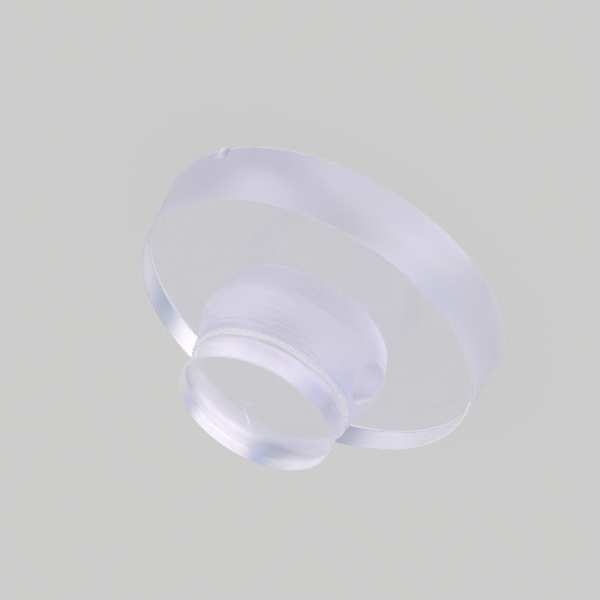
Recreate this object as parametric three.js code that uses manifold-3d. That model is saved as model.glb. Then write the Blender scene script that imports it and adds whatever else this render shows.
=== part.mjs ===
// A push-in door bumper, moulded in one piece of clear soft plastic.
// Millimetres. The pad that the door strikes lies on z = 0, and the stem points up along +Z.
// The nub on the stem's side points along +X.

import * as THREE from "three";
import { mergeVertices } from "three/addons/utils/BufferGeometryUtils.js";
import Module from "manifold-3d";

// The head: a thick disc, a little wider at its pad than at the face round the stem
const HEAD_RADIUS = 5.0;
const HEAD_THICKNESS = 1.87;
const HEAD_DRAFT_DEGREES = 3.8;
const PAD_EDGE_ROUND = 0.05;
const SEAT_EDGE_ROUND = 0.02;

// The stem's collar: it swells just above the head, then its flank narrows to a small lip
const ROOT_RADIUS = 2.46;
const ROOT_FILLET = 0.02;
const SWELL_RADIUS = 2.66;
const SWELL_HEIGHT = 0.9;
const FLANK_LENGTH = 1.38;
const LIP_RADIUS = 2.35;
const LIP_EDGE_ROUND = 0.04;

// The flank's curve: the share of its length that stays upright at the swell,
// the share over which it eases into the lip, and the share of its fall left for that
const FLANK_UPRIGHT = 0.18;
const FLANK_EASE_LENGTH = 0.44;
const FLANK_EASE_FALL = 0.18;

// The stem's end: a step in from the lip to a shallow neck, and a flat end with a rounded edge
const LIP_STEP = 0.14;
const NECK_RADIUS = 2.25;
const END_LENGTH = 0.83;
const END_RADIUS = 2.29;
const END_EDGE_ROUND = 0.03;

// A round-topped nub on the collar's flank, on the stem's side of the swell
const NUB_RADIUS = 0.61;
const NUB_RISE = 0.35;
const NUB_ABOVE_SWELL = 0.46;

// The stub that the mould's gate left on the head's rim, beside the pad
const GATE_WIDTH = 0.46;
const GATE_DEPTH = 0.26;
const GATE_RISE = 0.16;
const GATE_GAP_TO_PAD = 0.02;
const GATE_TURN_DEGREES = 119;

// How finely the round shapes are divided
const TURN_STEPS = 96;
const EDGE_STEPS = 3;
const CURVE_STEPS = 6;
const NUB_STEPS = 24;
const GATE_STEPS = 12;

// Heights along the axis, each worked out from the one below
const seatZ = HEAD_THICKNESS;
const swellZ = seatZ + SWELL_HEIGHT;
const nubZ = swellZ + NUB_ABOVE_SWELL;
const lipZ = swellZ + FLANK_LENGTH;
const neckZ = lipZ + LIP_STEP;
const endZ = neckZ + END_LENGTH;

// The head's side leans out towards the pad
const draft = THREE.MathUtils.degToRad(HEAD_DRAFT_DEGREES);
const padRadius = HEAD_RADIUS + HEAD_THICKNESS * Math.tan(draft);

// A profile point: its distance from the axis, and its height
function at(radius, z) {
  return new THREE.Vector2(radius, z);
}

// The points of a round that replaces the corner between two straight runs
function roundedCorner(before, corner, after, radius) {
  const toBefore = before.clone().sub(corner).normalize();
  const toAfter = after.clone().sub(corner).normalize();
  const halfAngle = Math.acos(THREE.MathUtils.clamp(toBefore.dot(toAfter), -1, 1)) / 2;
  const tangentLength = radius / Math.tan(halfAngle);
  const start = corner.clone().addScaledVector(toBefore, tangentLength);
  const finish = corner.clone().addScaledVector(toAfter, tangentLength);
  const towardsCentre = toBefore.add(toAfter).normalize();
  const centre = corner.clone().addScaledVector(towardsCentre, radius / Math.sin(halfAngle));
  const points = [];
  for (let step = 0; step <= EDGE_STEPS; step += 1) {
    const blend = start.clone().lerp(finish, step / EDGE_STEPS).sub(centre).setLength(radius);
    points.push(blend.add(centre));
  }
  return points;
}

// The head's side, from the middle of the pad to the foot of the stem
function headProfile() {
  const padCorner = at(padRadius, 0);
  const seatCorner = at(HEAD_RADIUS, seatZ);
  const foot = at(ROOT_RADIUS, seatZ);
  return [
    at(0, 0),
    ...roundedCorner(at(0, 0), padCorner, seatCorner, PAD_EDGE_ROUND),
    ...roundedCorner(padCorner, seatCorner, foot, SEAT_EDGE_ROUND),
    ...roundedCorner(seatCorner, foot, at(ROOT_RADIUS, swellZ), ROOT_FILLET),
  ];
}

// The collar's lower curve, which leaves the head steeply and stands upright at the swell
function rootCurve() {
  const footZ = seatZ + ROOT_FILLET;
  return new THREE.QuadraticBezierCurve(
    at(ROOT_RADIUS, footZ),
    at(SWELL_RADIUS, (footZ + swellZ) / 2),
    at(SWELL_RADIUS, swellZ),
  );
}

// The collar's flank, from the swell down its taper to the lip
function flankCurve() {
  const fall = SWELL_RADIUS - LIP_RADIUS;
  return new THREE.CubicBezierCurve(
    at(SWELL_RADIUS, swellZ),
    at(SWELL_RADIUS, swellZ + FLANK_LENGTH * FLANK_UPRIGHT),
    at(LIP_RADIUS + fall * FLANK_EASE_FALL, lipZ - FLANK_LENGTH * FLANK_EASE_LENGTH),
    at(LIP_RADIUS, lipZ),
  );
}

// The collar's side, without the foot's fillet and the lip's edge
function collarProfile() {
  const root = rootCurve().getPoints(CURVE_STEPS).slice(1);
  const flank = flankCurve().getPoints(CURVE_STEPS).slice(1, -1);
  return [...root, ...flank];
}

// The lip, the neck and the stem's end, up to the middle of the end face
function tipProfile() {
  const lip = at(LIP_RADIUS, lipZ);
  const neck = at(NECK_RADIUS, neckZ);
  const endCorner = at(END_RADIUS, endZ);
  return [
    ...roundedCorner(flankCurve().getPoint(1 - 1 / CURVE_STEPS), lip, neck, LIP_EDGE_ROUND),
    ...roundedCorner(lip, neck, endCorner, LIP_EDGE_ROUND),
    ...roundedCorner(neck, endCorner, at(0, endZ), END_EDGE_ROUND),
    at(0, endZ),
  ];
}

// A closed body of revolution about +Z, from a profile that starts and ends on the axis
function turned(profile, steps) {
  const geometry = new THREE.LatheGeometry(profile, steps);
  geometry.rotateX(Math.PI / 2);
  return geometry;
}

// Where the flank's curve reaches a height, found by halving the curve's range
function flankShareAt(z) {
  const flank = flankCurve();
  let low = 0;
  let high = 1;
  for (let halving = 0; halving < 30; halving += 1) {
    const middle = (low + high) / 2;
    if (flank.getPoint(middle).y < z) {
      low = middle;
    } else {
      high = middle;
    }
  }
  return low;
}

// A ball sunk square to the flank, so that a dome of the nub's radius and rise stands out of it
function nubBall() {
  const ballRadius = (NUB_RADIUS ** 2 + NUB_RISE ** 2) / (2 * NUB_RISE);
  const share = flankShareAt(nubZ);
  const tangent = flankCurve().getTangent(share);
  const outwards = at(tangent.y, -tangent.x);
  const centre = flankCurve().getPoint(share).addScaledVector(outwards, NUB_RISE - ballRadius);
  const geometry = new THREE.SphereGeometry(ballRadius, NUB_STEPS, NUB_STEPS / 2);
  geometry.rotateZ(Math.PI / 2);
  geometry.translate(centre.x, 0, centre.y);
  return geometry;
}

// The gate's stub: a flattened ball, half sunk in the rim just above the pad
function gateStub() {
  const geometry = new THREE.SphereGeometry(1, GATE_STEPS, GATE_STEPS / 2);
  const height = GATE_GAP_TO_PAD + GATE_DEPTH / 2;
  const wallRadius = padRadius - height * Math.tan(draft);
  geometry.rotateX(Math.PI / 2);
  geometry.scale(GATE_RISE, GATE_WIDTH / 2, GATE_DEPTH / 2);
  geometry.translate(wallRadius, 0, height);
  geometry.rotateZ(THREE.MathUtils.degToRad(GATE_TURN_DEGREES));
  return geometry;
}

const wasm = await Module();
wasm.setup();

// A three.js geometry as a solid: shared corners joined, and empty triangles left out
function solidOf(geometry) {
  const plain = geometry.clone();
  plain.deleteAttribute("normal");
  plain.deleteAttribute("uv");
  const merged = mergeVertices(plain, 1e-5);
  const triangles = [];
  for (let first = 0; first < merged.index.count; first += 3) {
    const [a, b, c] = [0, 1, 2].map((corner) => merged.index.getX(first + corner));
    if (a !== b && b !== c && c !== a) triangles.push(a, b, c);
  }
  return new wasm.Manifold(new wasm.Mesh({
    numProp: 3,
    vertProperties: merged.attributes.position.array,
    triVerts: new Uint32Array(triangles),
  }));
}

// A solid's triangles as a three.js geometry
function geometryOf(solid) {
  const mesh = solid.getMesh();
  const geometry = new THREE.BufferGeometry();
  geometry.setAttribute("position", new THREE.BufferAttribute(mesh.vertProperties, 3));
  geometry.setIndex(new THREE.BufferAttribute(mesh.triVerts, 1));
  geometry.computeVertexNormals();
  return geometry;
}

// The whole bumper in one solid
function bumperGeometry() {
  const profile = [...headProfile(), ...collarProfile(), ...tipProfile()];
  const body = solidOf(turned(profile, TURN_STEPS));
  return geometryOf(body.add(solidOf(nubBall())).add(solidOf(gateStub())));
}

const clearPlastic = new THREE.MeshStandardMaterial({
  color: new THREE.Color(0.82, 0.82, 0.9),
  roughness: 0.15,
  metalness: 0,
  transparent: true,
  opacity: 0.45,
});

const bumper = new THREE.Mesh(bumperGeometry(), clearPlastic);
bumper.name = "bumper";

const part = new THREE.Group();
part.add(bumper);

export default part;
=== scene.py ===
"""A clear push-in door bumper on a plain pale floor."""

import math

import bpy
import numpy as np
from mathutils import Matrix, Vector


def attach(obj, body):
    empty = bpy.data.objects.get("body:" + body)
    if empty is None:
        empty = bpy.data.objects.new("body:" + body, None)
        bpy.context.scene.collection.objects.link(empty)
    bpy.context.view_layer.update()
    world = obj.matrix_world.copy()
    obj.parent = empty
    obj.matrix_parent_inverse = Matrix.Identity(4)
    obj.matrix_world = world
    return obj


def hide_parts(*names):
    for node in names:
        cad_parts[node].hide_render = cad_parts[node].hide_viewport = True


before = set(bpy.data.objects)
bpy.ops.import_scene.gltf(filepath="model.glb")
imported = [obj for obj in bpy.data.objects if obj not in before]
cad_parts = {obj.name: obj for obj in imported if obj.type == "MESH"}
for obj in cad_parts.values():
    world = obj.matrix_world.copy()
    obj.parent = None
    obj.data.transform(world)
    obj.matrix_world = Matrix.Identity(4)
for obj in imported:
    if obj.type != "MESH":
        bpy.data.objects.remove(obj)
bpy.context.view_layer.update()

MM = 0.001

# The head
HEAD_RADIUS = 5.0 * MM
HEAD_THICKNESS = 1.87 * MM
HEAD_DRAFT = math.radians(3.8)
PAD_EDGE_ROUND = 0.05 * MM
SEAT_EDGE_ROUND = 0.02 * MM

# The stem's collar
ROOT_RADIUS = 2.46 * MM
ROOT_FILLET = 0.02 * MM
SWELL_RADIUS = 2.66 * MM
SWELL_HEIGHT = 0.9 * MM
FLANK_LENGTH = 1.38 * MM
FLANK_UPRIGHT = 0.18
FLANK_EASE_LENGTH = 0.44
FLANK_EASE_FALL = 0.18
LIP_RADIUS = 2.35 * MM
LIP_EDGE_ROUND = 0.04 * MM

# The stem's end, with a soft hollow where the lip's step meets the neck
LIP_STEP = 0.14 * MM
NECK_RADIUS = 2.25 * MM
HOLLOW_ROUND = 0.3 * MM
END_LENGTH = 0.83 * MM
END_RADIUS = 2.29 * MM
END_EDGE_ROUND = 0.03 * MM

# The nub on the collar, and the width over which its border blends into the flank
NUB_RADIUS = 0.61 * MM
NUB_RISE = 0.35 * MM
NUB_ABOVE_SWELL = 0.46 * MM
NUB_BLEND = 0.012 * MM
NUB_BORDER = 0.06 * MM

# The gate's stub on the rim; its peak is a share of its half width, and its tears slant
GATE_HALF_WIDTH = 0.23 * MM
GATE_HALF_DEPTH = 0.13 * MM
GATE_RISE = 0.16 * MM
GATE_PEAK = -0.7
GATE_GAP_TO_PAD = 0.02 * MM
GATE_TURN = math.radians(119)
GATE_SLANT_PER_METRE = 9000

# Heights above the pad, each worked out from the one below
SEAT_Z = HEAD_THICKNESS
SWELL_Z = SEAT_Z + SWELL_HEIGHT
NUB_Z = SWELL_Z + NUB_ABOVE_SWELL
LIP_Z = SWELL_Z + FLANK_LENGTH
NECK_Z = LIP_Z + LIP_STEP
END_Z = NECK_Z + END_LENGTH
PAD_RADIUS = HEAD_RADIUS + HEAD_THICKNESS * math.tan(HEAD_DRAFT)

# The mesh: the radius of the flat caps, the gap from a round to the row that holds its
# border crisp, where the wall's straight rows start and stop, the seat's first two rows in
# from its edge, and where the tip's straight rows start and stop
CAP_RADIUS = 0.3 * MM
SUPPORT = 0.01 * MM
WALL_ABOVE_PAD = 0.065 * MM
WALL_BELOW_SEAT = 0.03 * MM
SEAT_ROWS_IN = (0.06 * MM, 0.075 * MM)
TIP_ABOVE_NECK = 0.12 * MM
TIP_OUT_OF_NECK = 0.005 * MM
TIP_INSIDE_END = 0.001 * MM
FLANK_ROWS = 120
FLANK_ROWS_LEFT_TO_LIP = 3

# The mesh's columns in degrees: start, finish and step
ALL_COLUMNS = (0, 360, 1.25)
NUB_COLUMNS = (-15, 15, 0.625)
GATE_COLUMNS = (115, 123, 0.3125)

# The turning marks on the collar: their pitches and depths, the heights over which the fine
# ones set in, the coarse ones set in and all end, and the worn side's middle and half width
# in degrees
FINE_PITCH = 0.085 * MM
FINE_BEAT = 0.31 * MM
FINE_DEPTH = 0.0013 * MM
COARSE_PITCH = 0.19 * MM
COARSE_SECOND_PITCH = 0.115 * MM
COARSE_DEPTH = 0.0035 * MM
FINE_START = (SWELL_Z - 0.2 * MM, SWELL_Z + 0.3 * MM)
COARSE_START = (LIP_Z - 0.6 * MM, LIP_Z - 0.25 * MM)
MARKS_END = (LIP_Z - 0.06 * MM, LIP_Z)
PATCHES_PER_METRE = 5200
WORN_SIDE = (115, 80)

# What the marks leave clear round the nub: the half width in degrees, and the distances from
# its height over which they fade towards it, as negative numbers
CLEAR_AT_NUB = 18
CLEAR_FROM_NUB_Z = (-0.9 * MM, -0.6 * MM)

# The flash on the pad's edge: the turns in degrees where it starts, is full, and ends, the
# heights over which it fades, and its rise
FLASH_TURNS = (70, 78, 126, 130)
FLASH_FADE = (0.045 * MM, 0.06 * MM)
FLASH_RISE = 0.007 * MM
FLASH_UNEVEN = 0.002 * MM
FLASH_LIMIT = PAD_RADIUS - 0.004 * MM

# A highlight painted as a whitish line on the seat's edge, and the beads on the lip
HIGHLIGHT_TURNS = (284, 292, 338, 344)
HIGHLIGHT_WIDTH = 0.04 * MM
HIGHLIGHT_HEIGHT = 0.025 * MM
BEAD_RISE = 0.022 * MM
BEAD_HEIGHT = 0.06 * MM

# Where torn plastic turns white: the least rise of the flash and of the stub, and the
# height below which the stub is torn
WHITE_FLASH = 0.0045 * MM
WHITE_STUB = 0.04 * MM
WHITE_STUB_HEIGHT = 0.2 * MM

# The surfaces, in the order of the piece's material slots
FACES, WALL, COLLAR, LIP, TIP, END, FLASH_AND_HIGHLIGHT = range(7)


def between(start, finish, count):
    """Points from start to finish, with both ends."""
    steps = np.linspace(0, 1, count + 1)[:, None]
    return np.array(start) + steps * (np.array(finish) - np.array(start))


def bezier(points, count):
    """Points along a Bezier curve, without its first point."""
    points = [np.array(p, float) for p in points]
    degree = len(points) - 1
    t = np.linspace(0, 1, count + 1)[1:, None]
    return sum(
        math.comb(degree, i) * (1 - t) ** (degree - i) * t**i * p
        for i, p in enumerate(points)
    )


def rounded_corner(before, corner, after, radius, count):
    """Points of the round that replaces a corner."""
    before, corner, after = (np.array(p, float) for p in (before, corner, after))
    to_before = (before - corner) / np.linalg.norm(before - corner)
    to_after = (after - corner) / np.linalg.norm(after - corner)
    half = math.acos(np.clip(to_before @ to_after, -1, 1)) / 2
    tangent = radius / math.tan(half)
    start, finish = corner + to_before * tangent, corner + to_after * tangent
    middle = to_before + to_after
    centre = corner + middle / np.linalg.norm(middle) * radius / math.sin(half)
    chord = between(start, finish, count) - centre
    return centre + chord * radius / np.linalg.norm(chord, axis=1)[:, None]


def root_controls():
    """Control points of the collar's lower curve, from the foot to the swell."""
    foot_z = SEAT_Z + ROOT_FILLET
    return (
        (ROOT_RADIUS, foot_z),
        (SWELL_RADIUS, (foot_z + SWELL_Z) / 2),
        (SWELL_RADIUS, SWELL_Z),
    )


def flank_controls():
    """Control points of the collar's flank, from the swell to the lip."""
    fall = SWELL_RADIUS - LIP_RADIUS
    return (
        (SWELL_RADIUS, SWELL_Z),
        (SWELL_RADIUS, SWELL_Z + FLANK_LENGTH * FLANK_UPRIGHT),
        (LIP_RADIUS + fall * FLANK_EASE_FALL, LIP_Z - FLANK_LENGTH * FLANK_EASE_LENGTH),
        (LIP_RADIUS, LIP_Z),
    )


def profile():
    """The half outline as (radius, height) rows, and the surface that follows each row."""
    pad_corner, seat_corner, foot = (PAD_RADIUS, 0), (HEAD_RADIUS, SEAT_Z), (ROOT_RADIUS, SEAT_Z)
    lip, neck, end = (LIP_RADIUS, LIP_Z), (NECK_RADIUS, NECK_Z), (END_RADIUS, END_Z)
    lean = math.tan(HEAD_DRAFT)
    flank = bezier(flank_controls(), FLANK_ROWS)
    before_lip = flank[-2 * FLANK_ROWS_LEFT_TO_LIP]
    highlight_row_in, seat_in = SEAT_ROWS_IN
    runs = [
        (FACES, between((CAP_RADIUS, 0), (PAD_RADIUS - PAD_EDGE_ROUND - SUPPORT, 0), 8)),
        (WALL, rounded_corner((0, 0), pad_corner, seat_corner, PAD_EDGE_ROUND, 6)),
        (WALL, between(
            (PAD_RADIUS - WALL_ABOVE_PAD * lean, WALL_ABOVE_PAD),
            (HEAD_RADIUS + WALL_BELOW_SEAT * lean, SEAT_Z - WALL_BELOW_SEAT), 22)),
        (WALL, rounded_corner(pad_corner, seat_corner, foot, SEAT_EDGE_ROUND, 3)),
        (FACES, [(HEAD_RADIUS - highlight_row_in, SEAT_Z)]),
        (FACES, between(
            (HEAD_RADIUS - seat_in, SEAT_Z), (ROOT_RADIUS + ROOT_FILLET + SUPPORT, SEAT_Z), 8)),
        (COLLAR, rounded_corner(seat_corner, foot, (ROOT_RADIUS, SWELL_Z), ROOT_FILLET, 3)),
        (COLLAR, bezier(root_controls(), 30)),
        (COLLAR, flank[:-FLANK_ROWS_LEFT_TO_LIP]),
        (LIP, rounded_corner(before_lip, lip, neck, LIP_EDGE_ROUND, 4)),
        (TIP, rounded_corner(lip, neck, end, HOLLOW_ROUND, 12)),
        (TIP, between(
            (NECK_RADIUS + TIP_OUT_OF_NECK, NECK_Z + TIP_ABOVE_NECK),
            (END_RADIUS - TIP_INSIDE_END, END_Z - END_EDGE_ROUND - SUPPORT), 24)),
        (TIP, rounded_corner(neck, end, (0, END_Z), END_EDGE_ROUND, 4)),
        (END, between((END_RADIUS - END_EDGE_ROUND - SUPPORT, END_Z), (CAP_RADIUS, END_Z), 6)),
    ]
    rows = np.vstack([points for _, points in runs])
    surfaces = np.concatenate([[surface] * len(points) for surface, points in runs])
    return rows, surfaces


def turn_angles():
    """Angles of the mesh's columns, closer together at the nub and the gate's stub."""
    columns = [np.arange(*run) % 360 for run in (ALL_COLUMNS, NUB_COLUMNS, GATE_COLUMNS)]
    return np.radians(np.unique(np.concatenate(columns)))


def smooth(value, start, finish):
    """An eased step from 0 at start to 1 at finish."""
    share = np.clip((value - start) / (finish - start), 0, 1)
    return share * share * (3 - 2 * share)


def near_turn(angle, middle, half):
    """1 at a turn round the axis, eased to 0 half degrees away from it."""
    away = np.abs((np.degrees(angle) - middle + 180) % 360 - 180)
    return 1 - smooth(away, 0, half)


def along_arc(angle, turns):
    """1 between the inner two of four turns in degrees, eased to 0 at the outer two."""
    start, full, last, finish = turns
    turn = np.degrees(angle)
    return smooth(turn, start, full) * (1 - smooth(turn, last, finish))


def wave(z, pitch, shift):
    """A wave up the axis."""
    return np.sin(2 * math.pi * z / pitch + shift)


def nub_rise(radius, z, angle):
    """How far the nub's dome stands out of the flank."""
    ball = (NUB_RADIUS**2 + NUB_RISE**2) / (2 * NUB_RISE)
    across = radius * np.sin(angle)
    away = np.hypot(across, z - NUB_Z)
    dome = np.sqrt(np.maximum(ball**2 - away**2, 0)) - (ball - NUB_RISE)
    blended = (dome + np.hypot(dome, NUB_BLEND)) / 2
    facing = np.cos(angle) > 0
    return np.where((away < NUB_RADIUS + NUB_BORDER) & facing, blended, 0)


def gate_rise(radius, z, angle):
    """How far the gate's stub stands out of the rim: a sliver that is highest at one end."""
    across = radius * np.sin(angle - GATE_TURN) / GATE_HALF_WIDTH
    up = (z - GATE_GAP_TO_PAD - GATE_HALF_DEPTH) / GATE_HALF_DEPTH
    facing = np.cos(angle - GATE_TURN) > 0
    ramp = smooth(across, -1, GATE_PEAK) * np.clip((1 - across) / (1 - GATE_PEAK), 0, 1)
    return np.where(facing, GATE_RISE * ramp * np.sqrt(np.maximum(1 - up**2, 0)), 0)


def gate_tatter(angle, z):
    """The factor that tears the gate's stub."""
    return 1 + 0.2 * np.sin(95 * angle + GATE_SLANT_PER_METRE * z) + 0.15 * np.sin(61 * angle)


def tool_marks(z, angle):
    """Fine rings that the turned mould left round the collar, deepest near the lip."""
    wobble = 1.2 * np.sin(3 * angle) + 0.9 * np.sin(7 * angle + 1)
    fine = wave(z, FINE_PITCH, wobble) * wave(z, FINE_BEAT, -2 * wobble)
    coarse = wave(z, COARSE_PITCH, wobble) + 0.6 * wave(z, COARSE_SECOND_PITCH, -wobble)
    from_swell = smooth(z, *FINE_START)
    by_lip = smooth(z, *COARSE_START)
    before_lip = 1 - smooth(z, *MARKS_END)
    worn = 0.35 + 0.65 * near_turn(angle, *WORN_SIDE)
    patchy = 0.6 + 0.4 * np.sin(2.3 * angle + PATCHES_PER_METRE * z)
    at_nub = smooth(-np.abs(z - NUB_Z), *CLEAR_FROM_NUB_Z)
    clear_of_nub = 1 - near_turn(angle, 0, CLEAR_AT_NUB) * at_nub
    depth = worn * patchy * from_swell * FINE_DEPTH * fine + by_lip * COARSE_DEPTH * coarse
    return depth * before_lip * clear_of_nub


def flash_line(z, angle):
    """The thin line of flash on the pad's edge, from the gate round to the camera's side."""
    low = 1 - smooth(z, *FLASH_FADE)
    uneven = FLASH_UNEVEN * (np.sin(37 * angle) + np.sin(83 * angle + 1))
    return along_arc(angle, FLASH_TURNS) * low * (FLASH_RISE + uneven)


def lip_beads(angle):
    """The uneven flash along the lip."""
    return BEAD_RISE * np.sin(97 * angle + 2 * np.sin(9 * angle)) * np.sin(31 * angle + 1)


def ring_faces(rows, columns):
    """The quads between rows of points round the axis, and the two caps."""
    here = np.arange(columns)
    after = (here + 1) % columns
    quads = [
        np.stack([row * columns + here, row * columns + after,
                  (row + 1) * columns + after, (row + 1) * columns + here], -1)
        for row in range(rows - 1)
    ]
    caps = [here[::-1].tolist(), ((rows - 1) * columns + here).tolist()]
    return np.vstack(quads).tolist() + caps


def bumper_mesh():
    """The whole bumper as one closed mesh."""
    rows, surfaces = profile()
    radius, z = rows[:, 0, None], rows[:, 1, None]
    angle = turn_angles()[None]
    surface = surfaces[:, None]
    on_wall, on_lip = surface == WALL, (surface == LIP) & (z < LIP_Z + BEAD_HEIGHT)
    on_collar = np.isin(surface, (COLLAR, LIP))

    stub = np.where(on_wall, gate_rise(radius, z, angle) * gate_tatter(angle, z), 0)
    flash = np.where(on_wall & (stub == 0), flash_line(z, angle), 0)
    marks = np.where(on_collar, nub_rise(radius, z, angle) + tool_marks(z, angle), 0)
    out = radius + stub + flash + marks + np.where(on_lip, lip_beads(angle), 0)
    out = np.where(flash > 0, np.minimum(out, FLASH_LIMIT), out)
    x, y = out * np.cos(angle), out * np.sin(angle)
    points = np.stack([x, y, np.broadcast_to(z, x.shape)], -1).reshape(-1, 3)
    faces = ring_faces(*x.shape)

    # Painted highlight: a whitish line of the torn plastic's material along part of the seat's
    # edge, with no relief under it
    on_rim = (radius > HEAD_RADIUS - HIGHLIGHT_WIDTH) & (z > SEAT_Z - HIGHLIGHT_HEIGHT)
    painted_highlight = on_rim & (along_arc(angle, HIGHLIGHT_TURNS) > 0.5)
    torn_stub = (stub > WHITE_STUB) & (z < WHITE_STUB_HEIGHT)
    torn_and_highlight = torn_stub | (flash > WHITE_FLASH) | painted_highlight
    index = np.where(torn_and_highlight[:-1], FLASH_AND_HIGHLIGHT, surface[:-1])
    index = np.concatenate([index.ravel(), [FACES, END]])

    mesh = bpy.data.meshes.new("bumper_clear")
    mesh.from_pydata(points.tolist(), [], faces)
    mesh.polygons.foreach_set("material_index", index.astype(np.int32))
    mesh.polygons.foreach_set("use_smooth", np.ones(len(faces), bool))
    mesh.validate()
    mesh.update()
    return mesh


def feed(tree, socket, value):
    """Give a socket a plain value, or link another socket to it."""
    if isinstance(value, bpy.types.NodeSocket):
        tree.links.new(value, socket)
    else:
        socket.default_value = value


def maths(tree, operation, *values):
    """The result of a maths node; each value is a number or a socket."""
    node = tree.nodes.new("ShaderNodeMath")
    node.operation = operation
    for socket, value in zip(node.inputs, values):
        feed(tree, socket, value)
    return node.outputs[0]


def vector_maths(tree, operation, *values):
    """A vector maths node; each value is a vector or a socket."""
    node = tree.nodes.new("ShaderNodeVectorMath")
    node.operation = operation
    for socket, value in zip(node.inputs, values):
        feed(tree, socket, value)
    return node


def map_range(tree, value, start, finish, low=0, high=1, kind="LINEAR"):
    """A value's share of the way from start to finish, as a number from low to high."""
    node = tree.nodes.new("ShaderNodeMapRange")
    node.interpolation_type = kind
    numbers = {"From Min": start, "From Max": finish, "To Min": low, "To Max": high}
    for name, number in numbers.items():
        node.inputs[name].default_value = number
    tree.links.new(value, node.inputs["Value"])
    return node.outputs["Result"]


def colour_mix(tree, factor, first, second):
    """A mix of two colours; each is a plain colour or a socket."""
    mix = tree.nodes.new("ShaderNodeMix")
    mix.data_type = "RGBA"
    tree.links.new(factor, mix.inputs["Factor"])
    for name, value in (("A", first), ("B", second)):
        socket = next(i for i in mix.inputs if i.name == name and i.type == "RGBA")
        feed(tree, socket, (*value, 1) if isinstance(value, tuple) else value)
    return next(o for o in mix.outputs if o.type == "RGBA")


def direction(turn, height):
    """The direction at a turn round +Z and a height above the floor, in degrees."""
    turn, height = math.radians(turn), math.radians(height)
    return (math.cos(height) * math.cos(turn), math.cos(height) * math.sin(turn),
            math.sin(height))


def own_place(tree):
    """The place in the piece's own space, in metres."""
    return tree.nodes.new("ShaderNodeTexCoord").outputs["Object"]


def new_material(name, colour, roughness):
    """A material with a principled shader."""
    material = bpy.data.materials.new(name)
    material.use_nodes = True
    shader = material.node_tree.nodes["Principled BSDF"]
    shader.inputs["Base Color"].default_value = (*colour, 1)
    shader.inputs["Roughness"].default_value = roughness
    return material, material.node_tree, shader


def mix_surfaces(tree, factor, first, second):
    """Make a mix of two shaders the material's surface."""
    mix = tree.nodes.new("ShaderNodeMixShader")
    for socket, value in zip(mix.inputs, (factor, first.outputs[0], second.outputs[0])):
        feed(tree, socket, value)
    tree.links.new(mix.outputs[0], tree.nodes["Material Output"].inputs["Surface"])


PLASTIC_IOR = 1.53
SHADOW_TINT = (0.93, 0.93, 0.95)


def clear_plastic(name, colour, roughness, clearness=1):
    """A clear plastic whose shadow is light, as a clear piece's is."""
    material, tree, shader = new_material(name, colour, roughness)
    shader.inputs["IOR"].default_value = PLASTIC_IOR
    shader.inputs["Transmission Weight"].default_value = clearness
    through = tree.nodes.new("ShaderNodeBsdfTransparent")
    through.inputs["Color"].default_value = (*SHADOW_TINT, 1)
    ray = tree.nodes.new("ShaderNodeLightPath")
    mix_surfaces(tree, ray.outputs["Is Shadow Ray"], shader, through)
    return material


def round_the_axis(tree, place):
    """The place as (arc length at the lip's radius, 0, height)."""
    split = tree.nodes.new("ShaderNodeSeparateXYZ")
    tree.links.new(place, split.inputs[0])
    turn = maths(tree, "ARCTAN2", split.outputs["Y"], split.outputs["X"])
    joined = tree.nodes.new("ShaderNodeCombineXYZ")
    tree.links.new(maths(tree, "MULTIPLY", turn, LIP_RADIUS), joined.inputs["X"])
    tree.links.new(split.outputs["Z"], joined.inputs["Z"])
    return joined.outputs[0]


def noise(tree, stretch, scale, detail=2.0, turned=False):
    """Noise in millimetres of the piece's own space; turned takes it round the axis."""
    place = own_place(tree)
    if turned:
        place = round_the_axis(tree, place)
    mapping = tree.nodes.new("ShaderNodeMapping")
    mapping.inputs["Scale"].default_value = tuple(value / MM for value in stretch)
    tree.links.new(place, mapping.inputs["Vector"])
    texture = tree.nodes.new("ShaderNodeTexNoise")
    texture.inputs["Scale"].default_value = scale
    texture.inputs["Detail"].default_value = detail
    tree.links.new(mapping.outputs[0], texture.inputs["Vector"])
    return texture.outputs[0]


def add_bump(material, height, depth):
    """Fine relief on a material, with its depth in metres."""
    tree = material.node_tree
    bump = tree.nodes.new("ShaderNodeBump")
    bump.inputs["Strength"].default_value = 1
    bump.inputs["Distance"].default_value = depth
    tree.links.new(height, bump.inputs["Height"])
    tree.links.new(bump.outputs[0], tree.nodes["Principled BSDF"].inputs["Normal"])


# The part of the noise's range that most of its values lie in
NOISE_LOW, NOISE_HIGH = 0.35, 0.65


def vary_roughness(material, spread, low, high):
    """Roughness that wanders between two levels with a noise."""
    tree = material.node_tree
    roughness = map_range(tree, spread, NOISE_LOW, NOISE_HIGH, low, high)
    tree.links.new(roughness, tree.nodes["Principled BSDF"].inputs["Roughness"])


def paint_side_light(material, turn, there, opposite):
    """Painted light and shade: a tint that changes slowly from paler on one side of the piece to
    darker on the other.
    """
    tree = material.node_tree
    towards = tuple(part / PAD_RADIUS for part in direction(turn, 0))
    dot = vector_maths(tree, "DOT_PRODUCT", own_place(tree), towards)
    share = map_range(tree, dot.outputs["Value"], -1, 1)
    colour = colour_mix(tree, share, opposite, there)
    tree.links.new(colour, tree.nodes["Principled BSDF"].inputs["Base Color"])


def polished_faces():
    """The polished pad and seat, with a trace of waviness."""
    material = clear_plastic("polished_faces", (0.96, 0.952, 1.0), 0.02)
    add_bump(material, noise(material.node_tree, (1, 1, 1), 0.35), 0.002 * MM)
    return material


def satin_wall():
    """The head's side: satin, slightly uneven, with painted light and shade that make it paler
    towards one side.
    """
    material = clear_plastic("satin_wall", (0.88, 0.865, 1.0), 0.3)
    tree = material.node_tree
    # Painted light and shade: the wall's tint is paler on the side towards a turn of -20 degrees
    # and darker on the far side
    paint_side_light(material, -20, (0.97, 0.95, 1.0), (0.84, 0.825, 0.99))
    vary_roughness(material, noise(tree, (1, 1, 1), 0.6), 0.28, 0.33)
    add_bump(material, noise(tree, (1, 1, 3), 6.0), 0.001 * MM)
    return material


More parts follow.
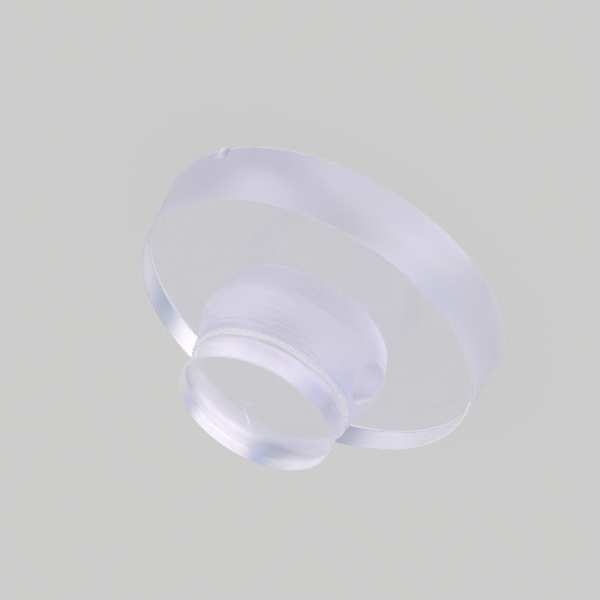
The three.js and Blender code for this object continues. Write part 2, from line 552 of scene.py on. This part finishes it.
def ridged_collar():
    """The collar: satin, with the mould's scaly turning marks."""
    material = clear_plastic("ridged_collar", (0.84, 0.825, 0.97), 0.28)
    tree = material.node_tree
    vary_roughness(material, noise(tree, (1, 1, 1), 1.2), 0.28, 0.34)
    add_bump(material, noise(tree, (0.9, 1, 9), 1.4, 3.0, turned=True), 0.024 * MM)
    return material


def torn_lip():
    """The lip's edge: rough, with a jagged run of flash."""
    material = clear_plastic("torn_lip", (1.0, 0.97, 1.0), 0.22, clearness=0.9)
    scales = noise(material.node_tree, (8, 1, 4), 1.3, 3.0, turned=True)
    add_bump(material, scales, 0.08 * MM)
    return material


def streaked_tip():
    """The stem's end below its edge: smoother, with fine streaks along the axis."""
    material = clear_plastic("streaked_tip", (0.98, 0.955, 0.99), 0.18)
    streaks = noise(material.node_tree, (14, 1, 0.8), 1.5, turned=True)
    add_bump(material, streaks, 0.0015 * MM)
    return material


# The scratches on the end face, in millimetres: start, finish and half width
SCRATCHES = (
    ((-0.36, 0.45), (-0.08, 0.34), 0.024),
    ((-0.08, 0.34), (0.59, 0.62), 0.02),
    ((-0.30, 0.14), (-0.28, -0.49), 0.024),
)
SCRATCH_DEPTH = 0.016 * MM


def scratch(tree, start, finish, half_width):
    """1 on a straight scratch on the end face, and 0 from its half width outwards."""
    start, finish = Vector((*start, END_Z / MM)), Vector((*finish, END_Z / MM))
    start, along = start * MM, (finish - start) * MM
    from_start = vector_maths(tree, "ADD", own_place(tree), -start).outputs[0]
    dot = vector_maths(tree, "DOT_PRODUCT", from_start, along / along.length_squared)
    share = tree.nodes.new("ShaderNodeClamp")
    tree.links.new(dot.outputs["Value"], share.inputs["Value"])
    reached = vector_maths(tree, "SCALE", -along)
    tree.links.new(share.outputs[0], reached.inputs["Scale"])
    beside = vector_maths(tree, "ADD", from_start, reached.outputs[0])
    away = vector_maths(tree, "LENGTH", beside.outputs[0])
    return map_range(tree, away.outputs["Value"], half_width * MM, 0)


def scratched_end():
    """The stem's end face, with a few fine scratches."""
    material = clear_plastic("scratched_end", (0.965, 0.95, 1.0), 0.2)
    tree = material.node_tree
    marks = [scratch(tree, *line) for line in SCRATCHES]
    height = marks[0]
    for mark in marks[1:]:
        height = maths(tree, "ADD", height, mark)
    add_bump(material, height, SCRATCH_DEPTH)
    return material


def torn_flash_and_highlight():
    """The gate's torn stub and the flash, whitish and rough; the same whitish material paints a
    highlight on the seat's edge.
    """
    material = clear_plastic("torn_flash_and_highlight", (1.0, 1.0, 1.0), 0.5, clearness=0.15)
    add_bump(material, noise(material.node_tree, (1, 1, 1), 8.0), 0.003 * MM)
    return material


def build_bumper():
    """The visible bumper, in place of the CAD solid."""
    piece = bpy.data.objects.new("bumper_clear", bumper_mesh())
    bpy.context.scene.collection.objects.link(piece)
    for make in (polished_faces, satin_wall, ridged_collar, torn_lip, streaked_tip,
                 scratched_end, torn_flash_and_highlight):
        piece.data.materials.append(make())
    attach(piece, "root")
    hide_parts("bumper")


# The camera: the angle between the stem and the line of sight, the turn round the stem
# from the nub, and the angle of the stem's image, from the picture's right
SIGHT_TO_STEM = math.radians(57.35)
SIGHT_TURN = math.radians(61.2)
STEM_IN_PICTURE = math.radians(-120.38)
CAMERA_DISTANCE = 200 * MM
PAD_CENTRE_RIGHT = 0.9545 * MM
PAD_CENTRE_UP = 0.64 * MM
FIELD_OF_VIEW = math.radians(4.717)
CLIP_START, CLIP_END = 0.01, 10


def place_camera():
    """A camera far back on a long lens, rolled so that the stem points down to the left."""
    towards = Vector((
        math.sin(SIGHT_TO_STEM) * math.cos(SIGHT_TURN),
        math.sin(SIGHT_TO_STEM) * math.sin(SIGHT_TURN),
        math.cos(SIGHT_TO_STEM),
    ))
    stem = Vector((0, 0, 1))
    along = (stem - towards * stem.dot(towards)).normalized()
    across = towards.cross(along)
    cosine, sine = math.cos(STEM_IN_PICTURE), math.sin(STEM_IN_PICTURE)
    right = along * cosine - across * sine
    up = along * sine + across * cosine
    camera = bpy.data.objects.new("camera", bpy.data.cameras.new("camera"))
    bpy.context.scene.collection.objects.link(camera)
    camera.data.angle = FIELD_OF_VIEW
    camera.data.clip_start = CLIP_START
    camera.data.clip_end = CLIP_END
    place = towards * CAMERA_DISTANCE - right * PAD_CENTRE_RIGHT - up * PAD_CENTRE_UP
    turn = Matrix((right, up, towards)).transposed().to_4x4()
    camera.matrix_world = Matrix.Translation(place) @ turn
    bpy.context.scene.camera = camera


# The backdrop's colour, and the floor's own glow, which with its share of the studio's light
# comes to the same colour
PALE = (0.604, 0.604, 0.591)
FLOOR_GLOW = (0.675, 0.675, 0.665)
GLOW_SHARE = 0.7
FLOOR_HALF = 2.0


def build_floor():
    """A wide pale floor, which keeps the piece's shadow but isn't seen through the piece."""
    mesh = bpy.data.meshes.new("floor")
    signs = ((-1, -1), (1, -1), (1, 1), (-1, 1))
    corners = [(x * FLOOR_HALF, y * FLOOR_HALF, 0) for x, y in signs]
    mesh.from_pydata(corners, [], [(0, 1, 2, 3)])
    floor = bpy.data.objects.new("floor", mesh)
    bpy.context.scene.collection.objects.link(floor)
    material, tree, shader = new_material("floor", PALE, 1)
    shader.inputs["Specular IOR Level"].default_value = 0
    glow = tree.nodes.new("ShaderNodeEmission")
    glow.inputs["Color"].default_value = (*FLOOR_GLOW, 1)
    mix_surfaces(tree, GLOW_SHARE, shader, glow)
    mesh.materials.append(material)
    floor.visible_glossy = False
    floor.visible_transmission = False


# The soft studio round the piece: each light's turn and height in degrees, the half widths
# in degrees of its full and its faded part, and its colour. Later ones lie over earlier ones.
STUDIO_GREY = (0.72, 0.72, 0.73)
STUDIO_LIGHTS = (
    # Behind the piece, as plain as the backdrop
    (-119, -33, 8, 16, (0.595, 0.595, 0.6)),
    # Pale cards low behind and beside it
    (-77, -51, 8, 16, (1.03, 1.02, 1.04)),
    (-56, -40, 6, 14, (0.62, 0.62, 0.63)),
    (-133, -48, 6, 14, (0.98, 0.97, 1.02)),
    (-150, -50, 5, 12, (0.45, 0.54, 0.84)),
    (158, -43, 10, 20, (0.89, 0.88, 0.97)),
    (158, -22, 10, 24, (0.84, 0.82, 0.9)),
    # The room's far sides
    (-60, 2, 20, 40, (0.6, 0.6, 0.61)),
    (-165, 5, 20, 40, (0.96, 0.94, 1.02)),
    (120, 25, 25, 45, (1.0, 0.98, 1.06)),
    (10, 40, 20, 40, (0.6, 0.59, 0.62)),
    # Pale cards high behind it
    (-88, 43, 9, 20, (0.8, 0.8, 0.8)),
    (-150, 47, 12, 24, (0.72, 0.71, 0.75)),
    (-46, 33, 14, 28, (0.8, 0.8, 0.83)),
    # The white softbox and its reflector
    (48, -14, 22, 34, (1.1, 1.06, 1.12)),
    (28, -37, 30, 44, (1.3, 1.25, 1.31)),
    # Bluish gaps round the softbox
    (-32, -22, 7, 18, (0.54, 0.58, 0.82)),
    (-38, -43, 7, 13, (0.16, 0.24, 0.4)),
    (96, -21, 8, 16, (0.2, 0.31, 0.7)),
    (110, -57, 10, 18, (0.28, 0.35, 0.68)),
    (120, -46, 9, 16, (0.07, 0.12, 0.27)),
)


def soft_light(tree, looking, below, turn, height, full, faded, colour):
    """One round soft light over what lies below it."""
    dot = vector_maths(tree, "DOT_PRODUCT", looking, direction(turn, height))
    angle = maths(tree, "ARCCOSINE", dot.outputs["Value"])
    fade = map_range(
        tree, angle, math.radians(full), math.radians(faded), 1, 0, kind="SMOOTHSTEP")
    return colour_mix(tree, fade, below, colour)


def build_world():
    """A plain pale backdrop for the camera, and the soft studio for the piece."""
    world = bpy.data.worlds.new("studio")
    bpy.context.scene.world = world
    world.use_nodes = True
    tree = world.node_tree
    looking = tree.nodes.new("ShaderNodeTexCoord").outputs["Generated"]
    colour = STUDIO_GREY
    for light in STUDIO_LIGHTS:
        colour = soft_light(tree, looking, colour, *light)
    ray = tree.nodes.new("ShaderNodeLightPath")
    seen = colour_mix(tree, ray.outputs["Is Camera Ray"], colour, PALE)
    tree.links.new(seen, tree.nodes["Background"].inputs["Color"])


# Enough bounces for light to leave the clear piece
BOUNCES = 32

build_bumper()
build_floor()
build_world()
place_camera()
scene = bpy.context.scene
scene.view_settings.view_transform = "Standard"
scene.cycles.max_bounces = BOUNCES
scene.cycles.glossy_bounces = BOUNCES
scene.cycles.transmission_bounces = BOUNCES
